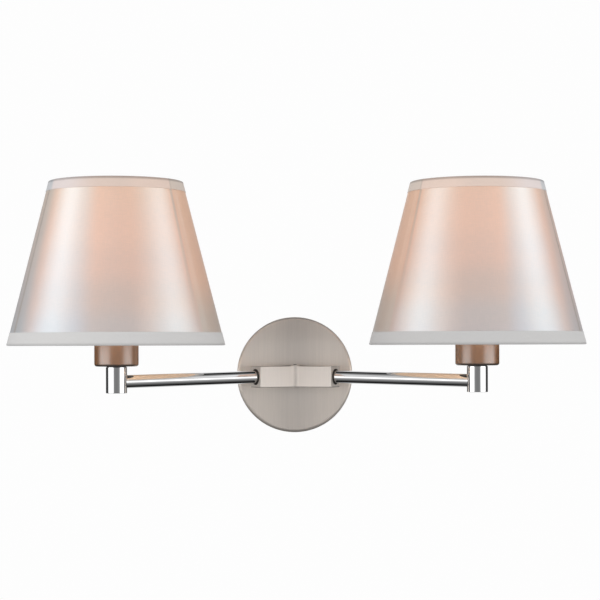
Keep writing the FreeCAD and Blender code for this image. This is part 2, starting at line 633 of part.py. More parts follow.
# ---------------------------------------------------------------- inner leads
# from the terminal block through the bracket's nipple, then out to each arm
inner_end = on_arm(-tube_inside - 1.0)
pts = []
leads = []
for sx in (-1, 1):
    e = V(inner_end.x * sx, inner_end.y, inner_end.z)
    way = [V(9.2 * sx, -7.1, tb_z1 + 0.2), V(9.2 * sx, -7.1, tb_z1 + 4.0), V(1.9 * sx, -14.5, brk_z),
           V(1.9 * sx, -36.0, brk_z), V(14.0 * sx, -40.3, brk_z), e]
    leads.append(hose(way, lead_r, [2.5, 4.0, 3.2, 6.0]))
keep("supply_leads", leads)
el = hose([V(0.0, -7.1, tb_z0 - 0.2), V(0.0, -7.1, tb_z0 - 5.0), V(16.0, -5.4, tb_z0 - 6.5),
           V(24.0, -4.6, -22.0), V(24.0, -4.4, -15.4)], 1.1, [3.0, 6.0, 4.0])
keep("earth_lead", el)

# ------------------------------------------------------------------ write out
total = 0.0
for name in sorted(nodes):
    solids = nodes[name]
    ok = all(s.isValid() and s.Volume > 0 for s in solids)
    vol = sum(s.Volume for s in solids)
    total += vol
    if not ok:
        print("CHECK", name, [(s.isValid(), round(s.Volume, 2)) for s in solids])
    shape = solids[0] if len(solids) == 1 else Part.makeCompound(solids)
    shape.exportStep("parts/" + name + ".step")
    print(name, len(solids), round(vol, 1))
print(len(nodes), "nodes")
allb = Part.makeCompound([s for n in nodes.values() for s in n]).BoundBox
print("box", [round(v, 2) for v in (allb.XMin, allb.XMax, allb.YMin, allb.YMax, allb.ZMin, allb.ZMax)])
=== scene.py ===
import bpy
import json
import math
from mathutils import Matrix, Vector

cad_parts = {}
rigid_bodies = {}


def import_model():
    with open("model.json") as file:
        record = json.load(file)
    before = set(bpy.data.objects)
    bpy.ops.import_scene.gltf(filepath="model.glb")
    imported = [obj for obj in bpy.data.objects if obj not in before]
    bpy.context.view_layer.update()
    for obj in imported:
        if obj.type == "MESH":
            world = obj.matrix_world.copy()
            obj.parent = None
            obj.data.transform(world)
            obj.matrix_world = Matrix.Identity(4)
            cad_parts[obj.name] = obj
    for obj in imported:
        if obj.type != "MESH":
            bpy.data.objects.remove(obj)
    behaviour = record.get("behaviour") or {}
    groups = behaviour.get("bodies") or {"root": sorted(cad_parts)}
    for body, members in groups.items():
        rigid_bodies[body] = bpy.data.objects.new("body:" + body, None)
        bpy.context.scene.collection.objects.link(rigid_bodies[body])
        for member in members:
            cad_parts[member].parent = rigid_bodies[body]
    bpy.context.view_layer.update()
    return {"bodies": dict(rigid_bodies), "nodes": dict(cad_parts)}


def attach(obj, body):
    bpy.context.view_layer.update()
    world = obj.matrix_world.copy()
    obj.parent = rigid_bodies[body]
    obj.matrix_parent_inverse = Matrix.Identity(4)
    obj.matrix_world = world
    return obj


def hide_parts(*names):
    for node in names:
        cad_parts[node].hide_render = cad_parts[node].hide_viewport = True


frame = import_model()
nodes = frame["nodes"]
bodies = frame["bodies"]
scene = bpy.context.scene
scene.view_settings.view_transform = "Standard"
scene.view_settings.look = "None"
scene.view_settings.exposure = 0.0
scene.view_settings.gamma = 1.0

# ------------------------------------------------------------------ geometry
# all in metres, in the part's own frame: the wall is the plane y = 0, the room
# is on the -y side, z is up
MM = 0.001
POST_X = 173.2 * MM
POST_Y = -120.733565 * MM
SHADE_LOW, SHADE_HIGH = 29.9 * MM, 186.8 * MM
SHADE_R_LOW, SHADE_R_HIGH = 104.4 * MM, 64.1 * MM
SLOPE = (SHADE_R_LOW - SHADE_R_HIGH) / (SHADE_HIGH - SHADE_LOW)
SLANT = math.hypot(SHADE_R_LOW - SHADE_R_HIGH, SHADE_HIGH - SHADE_LOW)
HALF = math.asin((SHADE_R_LOW - SHADE_R_HIGH) / SLANT)      # half angle of the cone
SEAM = 56.0                                                 # seam in the cloth's own angles
SEAMS = {"left": 53.9, "right": 59.3}                       # and on each shade, degrees from the front, towards the middle


def cone_r(z):
    return SHADE_R_LOW - (z - SHADE_LOW) * SLOPE


# -------------------------------------------------------------------- camera
cam_data = bpy.data.cameras.new("camera")
cam = bpy.data.objects.new("camera", cam_data)
scene.collection.objects.link(cam)
yaw = math.radians(-1.694)
roll = math.radians(-0.1675)
forward = Vector((-math.sin(yaw), math.cos(yaw), 0.0))
right = Vector((math.cos(yaw), math.sin(yaw), 0.0))
up = Vector((0.0, 0.0, 1.0))
r2 = right * math.cos(roll) + up * math.sin(roll)
u2 = up * math.cos(roll) - right * math.sin(roll)
rot = Matrix((r2, u2, -forward)).transposed()
cam.matrix_world = Matrix.Translation((-0.0479, POST_Y - 1.7048, 0.0296)) @ rot.to_4x4()
cam_data.sensor_width = 36.0
cam_data.lens = 1776.7 / 600.0 * 36.0
cam_data.shift_x = 0.0
cam_data.shift_y = 45.47 / 600.0
cam_data.clip_start, cam_data.clip_end = 0.05, 100.0
cam_data.dof.use_dof = False
scene.camera = cam

# ---------------------------------------------------------------- node helpers


def new_material(name):
    m = bpy.data.materials.new(name)
    m.use_nodes = True
    nt = m.node_tree
    nt.nodes.clear()
    out = nt.nodes.new("ShaderNodeOutputMaterial")
    bsdf = nt.nodes.new("ShaderNodeBsdfPrincipled")
    nt.links.new(bsdf.outputs["BSDF"], out.inputs["Surface"])
    return m, nt, bsdf


def node(nt, kind, **values):
    n = nt.nodes.new(kind)
    for k, v in values.items():
        setattr(n, k, v)
    return n


def link(nt, a, b):
    nt.links.new(a, b)


def setv(n, **values):
    for k, v in values.items():
        n.inputs[k.replace("_", " ")].default_value = v
    return n


def mapped(nt, scale, source="Object", rotation=(0, 0, 0)):
    tc = node(nt, "ShaderNodeTexCoord")
    mp = node(nt, "ShaderNodeMapping")
    mp.inputs["Scale"].default_value = scale
    mp.inputs["Rotation"].default_value = rotation
    link(nt, tc.outputs[source], mp.inputs["Vector"])
    return mp.outputs["Vector"]


def noise(nt, vector, scale=1.0, detail=2.0, rough=0.5, distortion=0.0):
    n = node(nt, "ShaderNodeTexNoise")
    n.inputs["Scale"].default_value = scale
    n.inputs["Detail"].default_value = detail
    n.inputs["Roughness"].default_value = rough
    n.inputs["Distortion"].default_value = distortion
    link(nt, vector, n.inputs["Vector"])
    return n.outputs["Fac"]


def ranged(nt, value, a, b, c, d, smooth=False):
    n = node(nt, "ShaderNodeMapRange")
    n.clamp = True
    if smooth:
        n.interpolation_type = "SMOOTHSTEP"
    for k, v in zip(("From Min", "From Max", "To Min", "To Max"), (a, b, c, d)):
        n.inputs[k].default_value = v
    link(nt, value, n.inputs["Value"])
    return n.outputs["Result"]


def mathn(nt, op, a, b=None):
    n = node(nt, "ShaderNodeMath", operation=op)
    for i, v in enumerate((a, b)):
        if v is None:
            continue
        if isinstance(v, (int, float)):
            n.inputs[i].default_value = v
        else:
            link(nt, v, n.inputs[i])
    return n.outputs[0]


def ramp(nt, value, stops):
    n = node(nt, "ShaderNodeValToRGB")
    cr = n.color_ramp
    cr.interpolation = "EASE"
    while len(cr.elements) < len(stops):
        cr.elements.new(0.5)
    for e, (p, c) in zip(cr.elements, stops):
        e.position = p
        e.color = (*c, 1.0)
    link(nt, value, n.inputs["Fac"])
    return n.outputs["Color"]


def mixc(nt, fac, a, b, blend="MIX"):
    n = node(nt, "ShaderNodeMix", data_type="RGBA", blend_type=blend)
    for s, v in (("A_Color", a), ("B_Color", b)):
        sock = [i for i in n.inputs if i.identifier == s][0]
        if isinstance(v, tuple):
            sock.default_value = (*v, 1.0)
        else:
            link(nt, v, sock)
    f = [i for i in n.inputs if i.identifier == "Factor_Float"][0]
    if isinstance(fac, (int, float)):
        f.default_value = fac
    else:
        link(nt, fac, f)
    return [o for o in n.outputs if o.identifier == "Result_Color"][0]


def bump(nt, bsdf, height, strength, distance):
    n = node(nt, "ShaderNodeBump")
    n.inputs["Strength"].default_value = strength
    n.inputs["Distance"].default_value = distance
    link(nt, height, n.inputs["Height"])
    link(nt, n.outputs["Normal"], bsdf.inputs["Normal"])
    return n


# ------------------------------------------------------------------ materials


def brushed_metal(name, colour, scale, rough=(0.26, 0.40), aniso=0.0, spread=0.05, bump_by=0.10, metallic=1.0, painted_edge_shade=None, painted_side_light=0.0):
    m, nt, b = new_material(name)
    v = mapped(nt, scale)
    fine = noise(nt, v, 1.0, 3.0, 0.6)
    broad = noise(nt, mapped(nt, tuple(s * 0.22 for s in scale)), 1.0, 2.0, 0.5)
    both = mathn(nt, "ADD", mathn(nt, "MULTIPLY", fine, 0.65), mathn(nt, "MULTIPLY", broad, 0.35))
    dark = tuple(c * (1 - spread) for c in colour)
    pale = tuple(min(1.0, c * (1 + spread)) for c in colour)
    base = ramp(nt, both, [(0.3, dark), (0.7, pale)])
    if painted_edge_shade:
        # painted shade on the bent bar: its top faces are painted dark, a thin dark line is painted above the lower
        # edge, and the crease is painted a little lighter
        tc = node(nt, "ShaderNodeTexCoord")
        at = node(nt, "ShaderNodeSeparateXYZ")
        link(nt, tc.outputs["Object"], at.inputs["Vector"])
        facing = node(nt, "ShaderNodeSeparateXYZ")
        link(nt, tc.outputs["Normal"], facing.inputs["Vector"])
        top = ranged(nt, facing.outputs["Z"], 0.55, 0.85, 0, 1)
        # the flat of the boss round its screw is kept out of the painted top shade
        top = mathn(nt, "MULTIPLY", top, ranged(nt, mathn(nt, "ABSOLUTE", at.outputs["X"]), 0.0037, 0.0052, 0, 1))
        painted_rim_shade = ranged(nt, at.outputs["Z"], painted_edge_shade[0] + 0.0003, painted_edge_shade[0] + 0.0011, 0.62, 0)
        painted_crease_light = ranged(nt, mathn(nt, "ABSOLUTE", at.outputs["X"]), 0.0012, 0.0048, 1, 0, True)
        base = mixc(nt, painted_crease_light, base, mixc(nt, 1.0, base, (1.10, 1.10, 1.10), "MULTIPLY"))
        base = mixc(nt, mathn(nt, "MAXIMUM", mathn(nt, "MULTIPLY", top, 0.50), painted_rim_shade), base, (0.10, 0.085, 0.07))
    if painted_side_light:
        # painted light: the plate is painted paler towards both sides than in the middle
        tc = node(nt, "ShaderNodeTexCoord")
        at = node(nt, "ShaderNodeSeparateXYZ")
        link(nt, tc.outputs["Object"], at.inputs["Vector"])
        out = ranged(nt, mathn(nt, "ABSOLUTE", at.outputs["X"]), 0.002, 0.034, 0, 1, True)
        painted_light_gain = 1 + painted_side_light
        base = mixc(nt, out, mixc(nt, 1.0, base, (0.97, 0.965, 0.96), "MULTIPLY"),
                    mixc(nt, 1.0, base, (painted_light_gain, painted_light_gain * 0.99, painted_light_gain * 0.975), "MULTIPLY"))
        # painted light: the plate is painted lighter towards the top and darker towards the bottom
        base = mixc(nt, ranged(nt, at.outputs["Z"], -0.045, 0.025, 0, 1, True), mixc(nt, 1.0, base, (0.92, 0.92, 0.92), "MULTIPLY"),
                    mixc(nt, 1.0, base, (1.13, 1.13, 1.13), "MULTIPLY"))
    link(nt, base, b.inputs["Base Color"])
    link(nt, ranged(nt, both, 0.3, 0.7, rough[0], rough[1]), b.inputs["Roughness"])
    b.inputs["Metallic"].default_value = metallic
    b.inputs["Anisotropic"].default_value = aniso
    bump(nt, b, both, bump_by, 0.00012)
    return m


def chrome():
    m, nt, b = new_material("chrome")
    v = mapped(nt, (1, 1, 1))
    cloud = noise(nt, v, 55.0, 3.0, 0.55)
    fine = noise(nt, v, 900.0, 2.0, 0.5)
    link(nt, ramp(nt, cloud, [(0.25, (0.86, 0.865, 0.875)), (0.75, (0.90, 0.90, 0.905))]), b.inputs["Base Color"])
    link(nt, ranged(nt, fine, 0.3, 0.8, 0.036, 0.050), b.inputs["Roughness"])
    b.inputs["Metallic"].default_value = 1.0
    bump(nt, b, cloud, 0.012, 0.0002)
    return m


def satin_bronze():
    m, nt, b = new_material("satin_bronze")
    v = mapped(nt, (1, 1, 1))
    cloud = noise(nt, v, 120.0, 3.0, 0.5)
    base = ramp(nt, cloud, [(0.3, (0.194, 0.086, 0.030)), (0.7, (0.202, 0.090, 0.032))])
    grain = noise(nt, v, 1400.0, 2.0, 0.6)
    speck = mixc(nt, ranged(nt, grain, 0.55, 0.80, 0.0, 0.04), base, (0.36, 0.22, 0.13))
    tc = node(nt, "ShaderNodeTexCoord")
    facing = node(nt, "ShaderNodeSeparateXYZ")
    link(nt, tc.outputs["Normal"], facing.inputs["Vector"])
    # painted shade: faces turned downwards, under the rounded lower edge, are painted nearly black
    under = ranged(nt, facing.outputs["Z"], -0.60, -0.02, 1, 0)
    speck = mixc(nt, under, speck, (0.030, 0.020, 0.014))
    link(nt, speck, b.inputs["Base Color"])
    link(nt, ranged(nt, grain, 0.3, 0.7, 0.275, 0.31), b.inputs["Roughness"])
    b.inputs["Metallic"].default_value = 0.0
    b.inputs["IOR"].default_value = 1.93
    b.inputs["Specular IOR Level"].default_value = 1.0
    bump(nt, b, cloud, 0.02, 0.0001)
    return m


def moulded(name, colour, rough=(0.35, 0.5), scale=260.0, bump_by=0.10, spread=0.06, metallic=0.0):
    m, nt, b = new_material(name)
    v = mapped(nt, (1, 1, 1))
    cloud = noise(nt, v, scale * 0.2, 3.0, 0.5)
    grain = noise(nt, v, scale * 6, 2.0, 0.6)
    dark = tuple(c * (1 - spread) for c in colour)
    pale = tuple(min(1.0, c * (1 + spread)) for c in colour)
    link(nt, ramp(nt, cloud, [(0.3, dark), (0.7, pale)]), b.inputs["Base Color"])
    link(nt, ranged(nt, grain, 0.3, 0.7, rough[0], rough[1]), b.inputs["Roughness"])
    b.inputs["Metallic"].default_value = metallic
    bump(nt, b, grain, bump_by, 0.00006)
    return m


def weave(nt, pitch, slub):
    # plain weave from the cloth's own flat coordinates, in metres, with slubs
    uv = node(nt, "ShaderNodeUVMap")
    uv.uv_map = "flat"
    sep = node(nt, "ShaderNodeSeparateXYZ")
    link(nt, uv.outputs["UV"], sep.inputs["Vector"])
    wob = noise(nt, uv.outputs["UV"], 90.0, 2.0, 0.5)
    wob = mathn(nt, "MULTIPLY", mathn(nt, "SUBTRACT", wob, 0.5), pitch * 1.2)
    x = mathn(nt, "ADD", sep.outputs["X"], wob)
    y = mathn(nt, "ADD", sep.outputs["Y"], wob)
    k = 2 * math.pi / pitch
    a = mathn(nt, "SINE", mathn(nt, "MULTIPLY", x, k))
    c = mathn(nt, "SINE", mathn(nt, "MULTIPLY", y, k))
    cross = mathn(nt, "MULTIPLY", a, c)
    # slubs: long thin streaks, along and across
    m1 = node(nt, "ShaderNodeMapping")
    m1.inputs["Scale"].default_value = (slub * 9, slub, 1)
    link(nt, uv.outputs["UV"], m1.inputs["Vector"])
    m2 = node(nt, "ShaderNodeMapping")
    m2.inputs["Scale"].default_value = (slub, slub * 9, 1)
    link(nt, uv.outputs["UV"], m2.inputs["Vector"])
    s1 = noise(nt, m1.outputs["Vector"], 1.0, 2.0, 0.6)
    s2 = noise(nt, m2.outputs["Vector"], 1.0, 2.0, 0.6)
    streak = mathn(nt, "ADD", mathn(nt, "MULTIPLY", s1, 0.5), mathn(nt, "MULTIPLY", s2, 0.5))
    height = mathn(nt, "ADD", mathn(nt, "MULTIPLY", cross, 0.35), mathn(nt, "MULTIPLY", streak, 1.0))
    return height, streak


def attribute(nt, name):
    n = node(nt, "ShaderNodeAttribute")
    n.attribute_type = "GEOMETRY"
    n.attribute_name = name
    return n.outputs["Fac"]


def pearl_satin():
    m, nt, b = new_material("pearl_satin")
    height, streak = weave(nt, 0.00045, 110.0)
    around = attribute(nt, "around")      # degrees from the front, + towards the middle of the light
    upward = attribute(nt, "upward")      # 0 at the lower edge, 1 at the upper
    # painted light: peach at the top fading to grey-mauve at the bottom, standing in for warm light coming through the
    # cloth from inside
    base = ramp(nt, upward, [(0.00, (0.575, 0.378, 0.310)), (0.10, (0.590, 0.382, 0.300)),
                             (0.28, (0.680, 0.380, 0.252)), (0.47, (0.815, 0.405, 0.236)),
                             (0.68, (0.895, 0.430, 0.232)), (1.00, (0.900, 0.445, 0.226))])
    # painted highlight: paler and bluer where the light boxes' highlights fall, on both sides of the middle
    pale = mathn(nt, "MULTIPLY", ranged(nt, around, 13.0, 32.0, 0, 1, True), ranged(nt, around, 49.0, 59.0, 1, 0, True))
    base = mixc(nt, pale, base, mixc(nt, 1.0, base, (0.95, 1.13, 1.36), "MULTIPLY"))
    pale = mathn(nt, "MULTIPLY", ranged(nt, around, -7.0, -21.0, 0, 1, True), ranged(nt, around, -42.0, -58.0, 1, 0, True))
    base = mixc(nt, pale, base, mixc(nt, 1.0, base, (0.84, 1.05, 1.36), "MULTIPLY"))
    below = ranged(nt, upward, 0.12, 0.55, 1, 0, True)
    # painted highlight: the low part is painted lighter on both sides of the middle, more neutral on the outer side
    painted_low_highlight = mathn(nt, "MULTIPLY", ranged(nt, around, 11.0, 27.0, 0, 1, True), ranged(nt, around, 46.0, 60.0, 1, 0, True))
    base = mixc(nt, mathn(nt, "MULTIPLY", painted_low_highlight, below), base, mixc(nt, 1.0, base, (1.25, 1.15, 1.00), "MULTIPLY"))
    painted_low_highlight = mathn(nt, "MULTIPLY", ranged(nt, around, -10.0, -26.0, 0, 1, True), ranged(nt, around, -46.0, -60.0, 1, 0, True))
    painted_highlight_tint = mixc(nt, attribute(nt, "tone"), (1.16, 1.01, 0.87), (1.24, 1.02, 0.80))
    base = mixc(nt, mathn(nt, "MULTIPLY", painted_low_highlight, below), base, mixc(nt, 1.0, base, painted_highlight_tint, "MULTIPLY"))
    # the cloth laps itself beside the seam, and the lining shows strongest there; its fall from top to bottom is the
    # same painted inner light
    warm = ramp(nt, upward, [(0.00, (0.530, 0.390, 0.310)), (0.12, (0.570, 0.410, 0.315)),
                             (0.45, (0.810, 0.460, 0.295)), (1.00, (0.850, 0.480, 0.290))])
    lap = mathn(nt, "MULTIPLY", ranged(nt, around, SEAM + 1.0, SEAM + 4.0, 0, 1, True),
                ranged(nt, around, 98.0, 112.0, 1, 0, True))
    base = mixc(nt, lap, base, warm)
    # on the other side the lining's own lap shows as a greyer zone behind a thin line; its change from top to bottom is
    # the same painted inner light
    grey = ramp(nt, upward, [(0.0, (0.400, 0.378, 0.380)), (0.25, (0.450, 0.382, 0.360)), (0.6, (0.510, 0.405, 0.350)),
                             (1.0, (0.560, 0.430, 0.340))])
    grey = mixc(nt, attribute(nt, "tone"), grey, mixc(nt, 1.0, grey, (1.20, 1.04, 0.97), "MULTIPLY"))
    near = mathn(nt, "MULTIPLY", ranged(nt, around, -43.0, -61.0, 0, 0.93, True),
                 ranged(nt, around, -96.0, -110.0, 1, 0, True))
    base = mixc(nt, near, base, grey)
    line = mathn(nt, "MULTIPLY", ranged(nt, around, -67.8, -66.6, 0, 1, True), ranged(nt, around, -65.2, -64.0, 1, 0, True))
    base = mixc(nt, mathn(nt, "MULTIPLY", line, 0.75), base, (0.36, 0.26, 0.20))
    seam = mathn(nt, "MULTIPLY", ranged(nt, around, SEAM - 2.4, SEAM - 0.2, 0, 1, True),
                 ranged(nt, around, SEAM + 0.6, SEAM + 2.8, 1, 0, True))
    seam = mathn(nt, "MULTIPLY", seam, ranged(nt, upward, 0.10, 0.80, 0.10, 0.62))
    base = mixc(nt, seam, base, (0.47, 0.35, 0.27))
    tone = ranged(nt, streak, 0.35, 0.65, 0.955, 1.045)
    shade = node(nt, "ShaderNodeCombineColor")
    for ch in ("Red", "Green", "Blue"):
        link(nt, tone, shade.inputs[ch])
    base = mixc(nt, 1.0, base, shade.outputs["Color"], "MULTIPLY")
    link(nt, base, b.inputs["Base Color"])
    link(nt, ranged(nt, streak, 0.35, 0.65, 0.42, 0.49), b.inputs["Roughness"])
    b.inputs["Metallic"].default_value = 0.0
    b.inputs["IOR"].default_value = 2.4
    b.inputs["Specular IOR Level"].default_value = 1.0
    b.inputs["Specular Tint"].default_value = (0.54, 0.86, 1.0, 1.0)
    bump(nt, b, height, 0.12, 0.00012)
    return m


def cloth(name, stops, pitch, slub, rough, bump_by, sheen=0.2, spread=0.04, level=0.35):
    m, nt, b = new_material(name)
    height, streak = weave(nt, pitch, slub)
    upward = attribute(nt, "upward")
    base = ramp(nt, upward, stops)
    tone = ranged(nt, streak, 0.35, 0.65, 1 - spread, 1 + spread)
    shade = node(nt, "ShaderNodeCombineColor")
    for ch in ("Red", "Green", "Blue"):
        link(nt, tone, shade.inputs[ch])
    base = mixc(nt, 1.0, base, shade.outputs["Color"], "MULTIPLY")
    link(nt, base, b.inputs["Base Color"])
    link(nt, ranged(nt, streak, 0.35, 0.65, rough - 0.05, rough + 0.05), b.inputs["Roughness"])
    b.inputs["Specular IOR Level"].default_value = level
    b.inputs["Sheen Weight"].default_value = sheen
    b.inputs["Sheen Roughness"].default_value = 0.5
    bump(nt, b, height, bump_by, 0.00012)
    return m, nt, b


NICKEL = (0.74, 0.683, 0.634)
mats = {
    "brushed_nickel": brushed_metal("brushed_nickel", NICKEL, (1500, 1500, 40), (0.41, 0.47), 0.8, 0.03, 0.03, 0.84),
    "chrome": chrome(),
    "satin_bronze": satin_bronze(),
    "black_plastic": moulded("black_plastic", (0.022, 0.018, 0.015), (0.32, 0.48)),
    "zinc_steel": brushed_metal("zinc_steel", (0.62, 0.63, 0.64), (400, 400, 400), (0.24, 0.42), 0.0, 0.08, 0.08),
    "brass": brushed_metal("brass", (0.80, 0.62, 0.30), (500, 500, 500), (0.22, 0.38), 0.0, 0.07, 0.06),
    "holder_white": moulded("holder_white", (0.82, 0.80, 0.76), (0.28, 0.42)),
    "terminal_plastic": moulded("terminal_plastic", (0.80, 0.80, 0.77), (0.25, 0.4)),
    "grommet_rubber": moulded("grommet_rubber", (0.028, 0.028, 0.029), (0.55, 0.75), 180.0, 0.2),
    "lead_sheath": moulded("lead_sheath", (0.74, 0.72, 0.68), (0.35, 0.5)),
    "earth_sheath": moulded("earth_sheath", (0.20, 0.48, 0.08), (0.3, 0.45)),
    "shade_wire": moulded("shade_wire", (0.80, 0.79, 0.76), (0.3, 0.45), 400.0, 0.12),
    "bulb_glass": moulded("bulb_glass", (0.86, 0.84, 0.80), (0.30, 0.38), 90.0, 0.02, 0.02),
    "bulb_cap": brushed_metal("bulb_cap", (0.72, 0.72, 0.71), (300, 300, 900), (0.22, 0.36), 0.0, 0.06, 0.06),
    "pearl_satin": pearl_satin(),
}
mats["peach_liner"] = cloth("peach_liner", [(0.0, (0.66, 0.52, 0.40)), (1.0, (0.69, 0.55, 0.425))],
                            0.0005, 140.0, 0.6, 0.04, 0.2, 0.015)[0]


def tape_cloth():
    """Plain tape. The lining tints the upper one, least at its sides, and each
    tape has painted shade along its fold."""
    m, nt, b = new_material("hem_tape")
    height, streak = weave(nt, 0.0006, 150.0)
    upward = attribute(nt, "upward")
    around = attribute(nt, "around")
    side = ranged(nt, around, -8.0, -42.0, 0, 1, True)
    tinted = mixc(nt, side, (0.550, 0.438, 0.378), (0.565, 0.498, 0.482))
    past = mathn(nt, "MULTIPLY", ranged(nt, around, SEAM - 0.5, SEAM + 1.0, 0, 1, True),
                 ranged(nt, around, 98.0, 112.0, 1, 0, True))
    bright = ranged(nt, around, 8.0, 26.0, 0, 1, True)
    tinted = mixc(nt, bright, tinted, mixc(nt, 1.0, tinted, (1.09, 1.07, 1.06), "MULTIPLY"))
    tinted = mixc(nt, past, tinted, (0.510, 0.432, 0.375))
    under = mathn(nt, "MULTIPLY", ranged(nt, around, -58.0, -63.0, 0, 1, True),
                  ranged(nt, around, -98.0, -112.0, 1, 0, True))
    tinted = mixc(nt, under, tinted, (0.400, 0.405, 0.420))
    base = mixc(nt, ranged(nt, upward, 0.3, 0.7, 0, 1), (0.472, 0.467, 0.463), tinted)
    tone = mathn(nt, "MULTIPLY", ranged(nt, streak, 0.35, 0.65, 0.975, 1.025), attribute(nt, "tone"))
    # painted shade: the tape is darker along its fold at the shade's top and bottom edges
    fold = mathn(nt, "MULTIPLY", ranged(nt, upward, 0.004, 0.020, 0.78, 1, True),
                 ranged(nt, upward, 0.979, 0.991, 1, 0.58, True))
    seam = mathn(nt, "MULTIPLY", ranged(nt, around, SEAM - 1.0, SEAM - 0.1, 0, 1, True),
                 ranged(nt, around, SEAM + 0.7, SEAM + 1.8, 1, 0, True))
    seam = mathn(nt, "MULTIPLY", seam, ranged(nt, upward, 0.3, 0.7, 0, 1))
    fold = mathn(nt, "MULTIPLY", fold, ranged(nt, seam, 0, 1, 1, 0.86))
    tone = mathn(nt, "MULTIPLY", tone, fold)
    shade = node(nt, "ShaderNodeCombineColor")
    for ch in ("Red", "Green", "Blue"):
        link(nt, tone, shade.inputs[ch])
    base = mixc(nt, 1.0, base, shade.outputs["Color"], "MULTIPLY")
    link(nt, base, b.inputs["Base Color"])
    link(nt, ranged(nt, streak, 0.35, 0.65, 0.57, 0.67), b.inputs["Roughness"])
    b.inputs["Specular IOR Level"].default_value = 0.35
    b.inputs["Sheen Weight"].default_value = 0.2
    b.inputs["Sheen Roughness"].default_value = 0.5
    bump(nt, b, height, 0.12, 0.00012)
    return m


mats["hem_tape"] = tape_cloth()
bracket_nickel_painted_shade = brushed_metal("brushed_nickel", NICKEL, (1500, 1500, 40), (0.41, 0.47), 0.8, 0.03, 0.03, 0.84,
                             (-12.2 * MM, 8.8 * MM))
plate_nickel_painted_light = brushed_metal("brushed_nickel", NICKEL, (1500, 1500, 40), (0.41, 0.47), 0.8, 0.03, 0.03, 0.84, None, 0.14)
dark_screw = brushed_metal("zinc_steel", (0.15, 0.13, 0.115), (400, 400, 400), (0.34, 0.50), 0.0, 0.08, 0.06)
own = {"bracket": bracket_nickel_painted_shade, "wall_plate": plate_nickel_painted_light, "bracket_screw": dark_screw}
for n, o in nodes.items():
    if n in own:
        for s in o.material_slots:
            s.material = own[n]
        continue
    for s in o.material_slots:
        if s.material is not None and s.material.name.split(".")[0] in mats:
            s.material = mats[s.material.name.split(".")[0]]

# --------------------------------------------------------- cloth of the shades


def strip(name, side, section, start, end, steps, tone=1.0, lowered=0.0):
    """Sweeps a closed cross-section round a shade's axis, from one angle to
    another. section(degrees) gives points (radius, z, s), s being the length
    along the cloth across the section, for the flat coordinates."""
    sx = -1 if side == "left" else 1
    cx, cy = sx * POST_X, POST_Y
    verts, faces, uvs, around, upward = [], [], [], [], []
    rows = []
    for i in range(steps + 1):
        deg = start + (end - start) * i / steps
        ring = []
        for r, z, s in section(deg, i / steps):
            a = math.radians(deg)
            # + towards the middle of the light
            x = cx - sx * r * math.sin(a)
            y = cy - r * math.cos(a)
            ring.append(len(verts))
            verts.append((x, y, z))
            rho = (cone_r(z)) / math.sin(HALF)
            al = a * math.sin(HALF)
            uvs.append((rho * math.sin(al), rho * math.cos(al) + s))
            turn = (deg + 180.0) % 360.0 - 180.0
            around.append(turn + (SEAM - SEAMS[side]) * max(0.0, min(1.0, turn / 30.0)))
            upward.append((z - SHADE_LOW) / (SHADE_HIGH - SHADE_LOW) - lowered)
        rows.append(ring)
    n = len(rows[0])
    for i in range(steps):
        for j in range(n):
            k = (j + 1) % n
            q = (rows[i][j], rows[i][k], rows[i + 1][k], rows[i + 1][j])
            faces.append(q if sx > 0 else q[::-1])
    first, last = tuple(rows[0]), tuple(rows[-1])
    faces.append(first[::-1] if sx > 0 else first)
    faces.append(last if sx > 0 else last[::-1])
    mesh = bpy.data.meshes.new(name)
    mesh.from_pydata(verts, [], faces)
    mesh.update()
    uv = mesh.uv_layers.new(name="flat")
    for loop in mesh.loops:
        uv.data[loop.index].uv = uvs[loop.vertex_index]
    for key, values in (("around", around), ("upward", upward), ("tone", [tone] * len(verts))):
        at = mesh.attributes.new(key, "FLOAT", "POINT")
        at.data.foreach_set("value", values)
    for p in mesh.polygons:
        p.use_smooth = True
    mesh.set_sharp_from_angle(angle=math.radians(35))
    o = bpy.data.objects.new(name, mesh)
    scene.collection.objects.link(o)
    bpy.context.view_layer.update()
    return o


def wavy(deg, seed, amount):
    a = math.radians(deg)
    return amount * (math.sin(3 * a + seed) * 0.5 + math.sin(7 * a + 2.1 * seed) * 0.3 + math.sin(13 * a + 3.7 * seed) * 0.2)


def sheet_section(z0, z1, off, thick, steps, lap_at, lap_drop, seed):
    """Cross-section of a single layer, whose start lies under its end."""
    def section(deg, f):
        drop = 0.0
        if deg < lap_at + 9.0:
            t = max(0.0, min(1.0, (lap_at + 9.0 - deg) / 4.5))
            drop = lap_drop * (t * t * (3 - 2 * t))
        pts = []
        for j in range(steps + 1):
            z = z0 + (z1 - z0) * j / steps
            belly = math.sin(math.pi * j / steps)
            o = off + drop + 0.00006 * belly * (1 + wavy(deg, seed, 1.0))
            pts.append((cone_r(z) - o, z, 0.0))
        for j in range(steps, -1, -1):
            z = z0 + (z1 - z0) * j / steps
            belly = math.sin(math.pi * j / steps)
            o = off + drop + 0.00006 * belly * (1 + wavy(deg, seed, 1.0)) + thick
            pts.append((cone_r(z) - o, z, 0.0003))
        return pts
    return section


